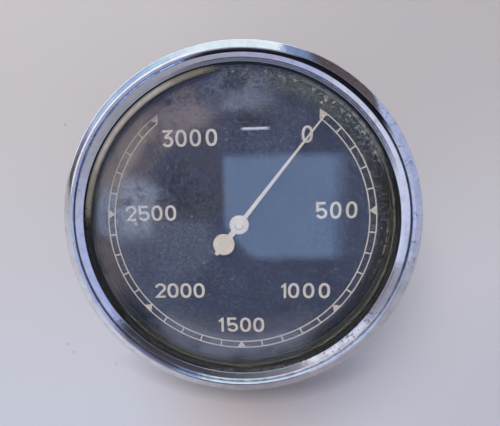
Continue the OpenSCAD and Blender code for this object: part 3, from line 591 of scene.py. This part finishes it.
for x, y, radius in [
    (26.9, 37.8, 0.5), (25.6, 37.2, 0.3), (-34.2, 0.3, 0.42), (-8.6, -47.2, 0.4), (16.8, -45.3, 0.3),
]:
    tone = over(tree, patch(tree, place, x, y, radius, 0.25), tone, (0.36, 0.35, 0.33))
grit = put(tree, "TexNoise", {"Vector": place, "Scale": 1.2, "Detail": 3.0, "Roughness": 0.8}).outputs[0]
swing = {"Value": grit, "From Min": 0.34, "From Max": 0.66, "To Min": 0.25, "To Max": 1.75}
swing = put(tree, "MapRange", swing).outputs[0]
grey_swing = put(tree, "CombineXYZ", {0: swing, 1: swing, 2: swing}).outputs[0]
tone = over(tree, 1.0, tone, grey_swing, way="MULTIPLY")
tree.links.new(tone, shader.inputs["Base Color"])
relief(tree, shader, place, 6.0, 2.0, 0.05, 0.0001)
finish_node("dial_plate", dial_finish)

# Scale: two fine arcs, short cross lines and solid triangles, screen printed in cream that has
# yellowed and thinned in places.
print_finish, tree, shader = new_finish("cream_ink", (0.44, 0.39, 0.33), rough=0.7)
place = in_mm(tree)
tone = over(tree, cloudy(tree, place, 5.0, 0.3, 0.7), (0.37, 0.315, 0.268), (0.315, 0.27, 0.228))
tone = over(tree, cloudy(tree, place, 0.7, 0.56, 0.66), tone, (0.20, 0.18, 0.15), 0.45)
soiled = times(tree, sector(tree, place, 40.0, 44.5, -10, 110, 1.0, 10), cloudy(tree, place, 2.4, 0.42, 0.6))
tone = over(tree, soiled, tone, (0.24, 0.22, 0.15), 0.5)
tree.links.new(tone, shader.inputs["Base Color"])
finish_node("dial_scale", print_finish)

# Numerals: upright drafting figures of one even stroke, printed with the scale in the same cream and
# spaced a little unevenly.
figure_stroke = 0.39
figure_half_wide, figure_half_tall = 1.7, 2.7


def stroke(path, half=figure_stroke):
    steps = [(Vector(b) - Vector(a)).normalized() for a, b in zip(path, path[1:])]
    left, right = [], []
    for i, point in enumerate(path):
        before = steps[max(i - 1, 0)]
        after = steps[min(i, len(steps) - 1)]
        side = Vector((-before.y - after.y, before.x + after.x)).normalized()
        reach = half / max(side.dot(Vector((-after.y, after.x))), 0.5)
        left.append((point[0] + side.x * reach, point[1] + side.y * reach))
        right.append((point[0] - side.x * reach, point[1] - side.y * reach))
    return [left + right[::-1]]


def bow(x, y, r, start, end, count=14):
    turns = [math.radians(start + (end - start) * i / count) for i in range(count + 1)]
    return [(x + r * math.cos(t), y + r * math.sin(t)) for t in turns]


def oval(inset=0.0, power=2.3, count=44):
    loop = []
    for i in range(count):
        t = 2 * math.pi * i / count
        c = math.copysign(abs(math.cos(t)) ** (2 / power), math.cos(t))
        s = math.copysign(abs(math.sin(t)) ** (2 / power), math.sin(t))
        loop.append(((figure_half_wide - inset) * c, (figure_half_tall - inset) * s))
    return loop


one_foot = [(-0.37, -2.675), (0.37, -2.675), (0.37, 2.675), (-0.1, 2.675)]
one_flag = [(-1.25, 1.45), (-0.95, 0.95), (-0.37, 1.45)]
figures = {
    "0": [oval(), oval(2 * figure_stroke, 2.1)],
    "1": [one_foot + one_flag],
    "2": stroke(bow(0, 1.0, 1.31, 175, -25) + [(-1.15, -2.315), (1.45, -2.315)]),
    "3": stroke([(-1.35, 2.315), (1.2, 2.315), (-0.45, 0.6)] + bow(0.05, -0.97, 1.34, 108, -155)),
    "5": stroke([(1.25, 2.315), (-1.2, 2.315), (-1.08, -0.05)] + bow(0.08, -0.97, 1.34, 125, -160)),
}
# Each number: its height on the dial, how tall and how wide its figures are, and where each stands.
numerals = [
    ("0", 27.85, 0.97, 1.0, [21.42]),
    ("500", 3.95, 1.0, 1.04, [26.06, 30.58, 35.5]),
    ("1000", -22.9, 0.956, 1.085, [14.67, 17.52, 22.43, 27.53]),
    ("1500", -35.1, 0.952, 1.09, [-6.38, -3.07, 1.42, 5.9]),
    ("2000", -22.88, 0.945, 1.108, [-27.17, -22.92, -18.5, -14.02]),
    ("2500", 3.82, 0.945, 1.075, [-35.6, -31.37, -26.97, -22.4]),
    ("3000", 27.72, 0.985, 1.06, [-22.3, -17.92, -13.38, -8.27]),
]
ink_thick = 0.04
for word, level, tall, wide, places in numerals:
    plan = bpy.data.curves.new("figures_" + word, "CURVE")
    plan.dimensions = "2D"
    plan.fill_mode = "BOTH"
    plan.extrude = ink_thick * mm
    for figure, at in zip(word, places):
        for loop in figures[figure]:
            line = plan.splines.new("POLY")
            line.points.add(len(loop) - 1)
            for point, (x, y) in zip(line.points, loop):
                point.co = ((at + x * wide) * mm, (level + y * tall) * mm, 0, 1)
            line.use_cyclic_u = True
    piece = bpy.data.objects.new("figures_" + word, plan)
    bpy.context.collection.objects.link(piece)
    bpy.ops.object.select_all(action="DESELECT")
    piece.select_set(True)
    bpy.context.view_layer.objects.active = piece
    bpy.ops.object.convert(target="MESH")
    piece.location.z = (dial_face + ink_thick) * mm
    bpy.ops.object.transform_apply(location=True, rotation=True, scale=True)
    piece.data.materials.append(print_finish)
    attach(piece, "housing")

# Pointer: stamped from thin aluminium with its two discs, riveted to a domed brass bush and painted
# cream with it. The paint is soiled and has a few fly specks.
paint_finish, tree, shader = new_finish("pointer_paint", (0.60, 0.56, 0.49), rough=0.5)
shader.inputs["Specular IOR Level"].default_value = 0.2
place = in_mm(tree)
tone = over(tree, cloudy(tree, place, 3.0, 0.35, 0.7), (0.37, 0.315, 0.27), (0.33, 0.28, 0.24))
tone = over(tree, cloudy(tree, place, 1.1, 0.56, 0.64), tone, (0.20, 0.17, 0.13), 0.35)
tone = over(tree, speckled(tree, place, 0.9, 0.26, 0.35), tone, (0.10, 0.08, 0.06), 0.7)
tree.links.new(tone, shader.inputs["Base Color"])
relief(tree, shader, place, 3.0, 3.0, 0.2, 0.0001)
finish_node("pointer", paint_finish)
finish_node("pointer_bush", paint_finish)

# Spacer: rolled from thin strip, blackened, and set on the dial's rim to keep the glass off the dial.
# Its blacking has bloomed and holds dust.
black_finish, tree, shader = new_finish("dull_black", (0.010, 0.010, 0.010), rough=0.6)
place = in_mm(tree)
tone = over(tree, cloudy(tree, place, 3.0, 0.45, 0.7), (0.008, 0.008, 0.008), (0.022, 0.021, 0.017))
tone = over(tree, speckled(tree, place, 1.0, 0.26, 0.25), tone, (0.12, 0.12, 0.10), 0.5)
tree.links.new(tone, shader.inputs["Base Color"])
finish_node("spacer_ring", black_finish)

# Packing: a strip of cream felt paper between the glass and the bezel, which has crept out inwards
# at the upper left and gone olive at its ends and along its frayed edge.
felt_finish, tree, shader = new_finish("cream_felt", (0.40, 0.37, 0.29), rough=0.9)
place = in_mm(tree)
tone = over(tree, cloudy(tree, place, 2.2, 0.35, 0.7), (0.37, 0.33, 0.295), (0.26, 0.225, 0.19))
tone = over(tree, sector(tree, place, 44.0, 47.5, -180, 180, 0.35, 1.0), tone, (0.15, 0.13, 0.09), 0.7)
tone = over(tree, sector(tree, place, 48.4, 49.4, -180, 180, 0.25, 1.0), tone, (0.12, 0.105, 0.08), 0.7)
left_end = sector(tree, place, 44.0, 50.0, -100, -66, 0.5, 8)
both_ends = either(tree, left_end, sector(tree, place, 44.0, 50.0, -24, 0, 0.5, 6))
tone = over(tree, both_ends, tone, (0.10, 0.088, 0.06), 0.75)
tree.links.new(tone, shader.inputs["Base Color"])
fray = times(tree, sector(tree, place, 47.1, 50.0, -82, -12, 0.35, 8), 1.6)
fray = times(tree, fray, maths(tree, "ADD", cloudy(tree, place, 0.8, 0.3, 0.5), 0.25))
tree.links.new(maths(tree, "MINIMUM", fray, 1.0), shader.inputs["Alpha"])
relief(tree, shader, place, 5.0, 4.0, 0.5, 0.0002)
felt_outline = [(46.7, 68.99), (46.9, 69.04), (48.3, 69.10), (48.85, 69.10), (48.85, 68.99)]
turned(
    "packing_strip", felt_outline, felt_finish, "housing",
    steps=120, clock_from=-92, clock_to=-4,
)


# Dirt film: what has crept in between the glass and the spacer and dried on the glass's underside, with
# a thin veil of dust nearer its middle. The veil also carries painted light, pale and in places bluish,
# that lifts the rim of the dial where the bezel shades it. Alpha is how thickly it lies, and the thicker
# layer shows.
def laid_on(tree, cover, tone, layer, colour):
    tone = over(tree, maths(tree, "GREATER_THAN", layer, cover), tone, colour)
    return either(tree, cover, layer), tone


film_finish, tree, shader = new_finish("dried_dirt", (0.05, 0.05, 0.03), rough=0.9)
place = in_mm(tree)
tone = over(tree, cloudy(tree, place, 1.2, 0.45, 0.6), (0.24, 0.22, 0.17), (0.09, 0.085, 0.06))
lip = sector(tree, place, 47.4, 49.0, -12, 60, 0.35, 10)
ragged = times(tree, sector(tree, place, 45.8, 49.0, -14, 66, 1.0, 8), cloudy(tree, place, 1.3, 0.5, 0.6))
cover = either(tree, times(tree, lip, 0.8), times(tree, ragged, 0.5))
right_edge = sector(tree, place, 47.4, 49.0, 60, 180, 0.5, 10)
round_edge = either(tree, right_edge, sector(tree, place, 47.4, 49.0, -180, -92, 0.5, 6))
tone = over(tree, round_edge, tone, (0.007, 0.006, 0.005))
cover = either(tree, cover, times(tree, round_edge, 0.8))
grain = maths(tree, "ADD", times(tree, cloudy(tree, place, 0.8, 0.36, 0.64), 0.7), 0.55)
# Veils: thin dust with painted light in it, pale and in places bluish, lifting the dial's rim where the bezel
# shades it.
for inner, outer, start, end, size, strength, colour in [
    (38, 50, -80, -36, 5.0, 0.17, (0.27, 0.21, 0.165)),
    (33, 48, -40, -14, 4.0, 0.09, (0.32, 0.25, 0.25)),
    (35, 50, -16, 14, 7.0, 0.10, (0.22, 0.22, 0.30)),
    (43, 50, 4, 40, 1.8, 0.06, (0.25, 0.24, 0.19)),
    (28, 46, -94, -64, 6.0, 0.17, (0.27, 0.29, 0.36)),
    (42, 49, -120, -84, 4.0, 0.10, (0.24, 0.17, 0.11)),
    (37, 45.5, 150, 182, 6.0, 0.12, (0.22, 0.22, 0.28)),
    (37, 46, -182, -140, 6.0, 0.12, (0.22, 0.22, 0.28)),
]:
    veil_and_painted_light = sector(tree, place, inner, outer, start, end, 2.0, 7)
    veil_and_painted_light = times(tree, veil_and_painted_light, cloudy(tree, place, size, 0.3, 0.5))
    veil_and_painted_light = times(tree, times(tree, veil_and_painted_light, strength), grain)
    cover, tone = laid_on(tree, cover, tone, veil_and_painted_light, colour)
powder = times(tree, cloudy(tree, place, 0.85, 0.52, 0.64), 0.05)
cover, tone = laid_on(tree, cover, tone, powder, (0.30, 0.29, 0.28))
motes = times(tree, speckled(tree, place, 1.0, 0.5, 0.6), sector(tree, place, 43, 49.5, -14, 114, 2.0, 8))
cover, tone = laid_on(tree, cover, tone, times(tree, motes, 0.16), (0.26, 0.25, 0.18))
tree.links.new(tone, shader.inputs["Base Color"])
tree.links.new(cover, shader.inputs["Alpha"])
film_low, film_high, film_reach = 66.40, 66.42, 48.4
film_outline = [(0, film_low), (film_reach, film_low), (film_reach, film_high), (0, film_high)]
turned("dirt_film", film_outline, film_finish, "housing", steps=128, closed=False)

# Glass: a flat disc of plate glass with ground edges, held between the spacer and the bezel. Light
# passes straight through it to the dial.
glass_finish, tree, shader = new_finish("plate_glass", (0.97, 0.985, 0.98), rough=0.0)
shader.inputs["Transmission Weight"].default_value = 1.0
shader.inputs["IOR"].default_value = 1.5
clear = put(tree, "BsdfTransparent", {"Color": (0.92, 0.93, 0.93, 1)})
ray = put(tree, "LightPath")
through = put(tree, "MixShader", {0: ray.outputs["Is Shadow Ray"], 1: shader.outputs[0], 2: clear.outputs[0]})
tree.links.new(through.outputs[0], tree.nodes["Material Output"].inputs["Surface"])
glass_low, glass_high = 66.52, 68.98
glass_outline = [(0, glass_low), (50.9, glass_low), (51.2, 66.8)]
glass_outline += [(51.2, 68.7), (50.9, glass_high), (0, glass_high)]
glass = turned("dial_glass", glass_outline, glass_finish, "housing", closed=False, soft=20)
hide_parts("glass")

# Bezel: spun from brass sheet, nickelled and chromium plated, with an inner band, a narrow groove and
# a domed outer edge, and closed behind the case flange with a roller. It sits a little off the middle.
bezel_off_x, bezel_off_y = -0.34, 0.04


def set_off_middle(*pieces):
    bpy.ops.object.select_all(action="DESELECT")
    for piece in pieces:
        piece.select_set(True)
    bpy.context.view_layer.objects.active = pieces[0]
    bpy.ops.transform.translate(value=(bezel_off_x * mm, bezel_off_y * mm, 0))
    bpy.ops.object.transform_apply(location=True, rotation=True, scale=True)


def from_bezel(tree):
    back = (-bezel_off_x, -bezel_off_y, 0.0)
    return put(tree, "VectorMath", {0: in_mm(tree), 1: back}, operation="ADD").outputs[0]


chrome, tree, shader = new_finish("bezel_chrome", (0.74, 0.75, 0.79), metal=1.0, rough=0.06)
place = from_bezel(tree)
haze = cloudy(tree, place, 3.5, 0.42, 0.68)
tone = over(tree, haze, (0.77, 0.78, 0.81), (0.66, 0.67, 0.72))
pits = speckled(tree, place, 0.9, 0.20, 0.30)
tone = over(tree, pits, tone, (0.20, 0.18, 0.17), 0.55)
blots = times(tree, cloudy(tree, place, 1.4, 0.56, 0.64), sector(tree, place, 52, 56, 30, 110, 0.5, 10))
tone = over(tree, blots, tone, (0.26, 0.24, 0.27), 0.5)
# Smear of dried polish in the groove and on the roll's inner flank at the top and upper right, which also
# darkens them there as painted shade.
smear_and_painted_shade = sector(tree, place, 51.7, 52.42, -14, 56, 0.08, 6)
smear_and_painted_shade = either(tree, smear_and_painted_shade, sector(tree, place, 51.7, 52.72, 18, 57, 0.08, 5))
smear_and_shade_start = sector(tree, place, 50, 54, -30, 14, 0.1, 8)
smear_and_shade_tone = over(tree, smear_and_shade_start, (0.020, 0.018, 0.024), (0.085, 0.065, 0.085))
tone = over(tree, smear_and_painted_shade, tone, smear_and_shade_tone)
inner_strip = sector(tree, place, 48.9, 49.95, -22, 66, 0.08, 8)
tone = over(tree, inner_strip, tone, (0.16, 0.16, 0.18), 0.55)
tone = over(tree, sector(tree, place, 49.95, 50.25, -16, 66, 0.07, 8), tone, (0.05, 0.06, 0.12), 0.85)
dots = times(tree, sector(tree, place, 49.0, 51.6, 122, 148, 0.1, 3), cloudy(tree, place, 0.9, 0.56, 0.60))
tone = over(tree, dots, tone, (0.10, 0.08, 0.13), 0.75)
# Painted shade: a dark line on the bottom of the outermost edge, for the shadowed bench that it mirrors.
painted_shade_outer_edge = sector(tree, place, 54.75, 56, 150, 180, 0.15, 10)
painted_shade_outer_edge = either(tree, painted_shade_outer_edge, sector(tree, place, 54.75, 56, -180, -165, 0.15, 8))
tone = over(tree, painted_shade_outer_edge, tone, (0.12, 0.11, 0.12), 0.7)
tree.links.new(tone, shader.inputs["Base Color"])
gloss = maths(tree, "ADD", between(tree, haze, 0.04, 0.13), times(tree, pits, 0.3))
gloss = maths(tree, "ADD", gloss, times(tree, smear_and_painted_shade, 0.6))
tree.links.new(gloss, shader.inputs["Roughness"])
relief(tree, shader, place, 0.8, 3.0, 0.05, 0.0003)
inner_band = [(49.0, 69.02), (49.0, 69.68)] + arc(49.07, 69.68, 0.07, 0.07, 180, 92, 3)
inner_band += [(49.12, 69.748), (50.4, 69.697), (51.45, 69.605)]
inner_band += arc(51.55, 69.35, 0.25, 0.25, 92, 0, 7)
groove_floor = [(51.8, 69.25), (52.05, 69.25)]
domed_edge = arc(52.35, 70.65, 0.3, 0.3, 180, 90, 7)
domed_edge += arc(52.35, 66.45, 4.5, 4.5, 90, 55.5, 14)[1:]
domed_edge += arc(54.5, 69.58, 0.7, 0.7, 55.5, 0, 8)[1:]
rolled_skirt = [(55.2, 68.65), (54.8, 65.1), (54.65, 64.85), (54.3, 64.62), (51.2, 64.62)]
rolled_skirt += [(51.2, 65.18), (54.05, 65.18), (54.7, 68.65), (52.65, 68.65), (51.6, 68.65), (51.6, 69.02)]
bezel_outline = inner_band + groove_floor + domed_edge + rolled_skirt
bezel = turned("rolled_bezel", bezel_outline, chrome, "housing", steps=320)
set_off_middle(bezel)
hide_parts("bezel_ring")

# Dirt in the bezel: dried polish and grime packed in the groove all round, thickest at the upper right,
# where it also stands as painted shade in the groove, and black dirt that has crept from the bezel on to
# the edge of the glass, grey at the bottom.
groove_dirt_and_shade_finish, tree, shader = new_finish("packed_dirt_and_shade", (0.012, 0.012, 0.018), rough=0.8)
place = from_bezel(tree)
tone = over(tree, cloudy(tree, place, 1.5), (0.012, 0.011, 0.014), (0.045, 0.038, 0.042))
tree.links.new(tone, shader.inputs["Base Color"])
thick = sector(tree, place, 51, 53, 8, 62, 0.1, 12)
thin = times(tree, sector(tree, place, 51, 53, 50, 108, 0.1, 8), 0.5)
left = times(tree, sector(tree, place, 51, 53, -135, -76, 0.1, 6), 0.5)
cover = either(tree, either(tree, thick, thin), left)
tree.links.new(either(tree, cover, 0.12), shader.inputs["Alpha"])
groove_outline = [(51.77, 69.25), (52.07, 69.25), (52.07, 69.52), (51.92, 69.49), (51.77, 69.46)]
groove = turned("groove_dirt_and_shade", groove_outline, groove_dirt_and_shade_finish, "housing", steps=256)
rim_finish, tree, shader = new_finish("edge_dirt", (0.010, 0.010, 0.010), rough=0.8)
place = from_bezel(tree)
tone = over(tree, cloudy(tree, place, 0.9), (0.005, 0.005, 0.005), (0.012, 0.011, 0.009))
grey = sector(tree, place, 46, 50, 158, 180, 0.1, 6)
grey = either(tree, grey, sector(tree, place, 46, 50, -180, -170, 0.1, 4))
grey = times(tree, grey, cloudy(tree, place, 0.8, 0.40, 0.56))
tone = over(tree, grey, tone, (0.075, 0.072, 0.075), 0.85)
tree.links.new(tone, shader.inputs["Base Color"])
teeth = cloudy(tree, place, 1.1, 0.46, 0.50)
right_teeth = times(tree, sector(tree, place, 48.3, 50, 118, 180, 0.1, 5), teeth)
left_teeth = times(tree, sector(tree, place, 48.3, 50, -180, -128, 0.1, 5), teeth)
cover = sector(tree, place, 48.78, 50, -180, 180, 0.05, 0.1)
cover = either(tree, cover, either(tree, right_teeth, left_teeth))
ragged = times(tree, cloudy(tree, place, 0.9, 0.3, 0.42), 0.92)
for inner, start, end, soft_r, soft_a in [
    (47.8, 160, 180, 0.2, 6), (47.8, -180, -172, 0.2, 4), (47.2, -126, -86, 0.9, 5),
]:
    creep = times(tree, sector(tree, place, inner, 51, start, end, soft_r, soft_a), ragged)
    cover = either(tree, cover, creep)
tree.links.new(cover, shader.inputs["Alpha"])
rim_outline = [(46.4, 69.0), (46.4, 69.01), (48.8, 69.06), (48.995, 69.3), (48.995, 69.0)]
rim = turned("edge_dirt", rim_outline, rim_finish, "housing", steps=256)
set_off_middle(groove, rim)

low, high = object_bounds()
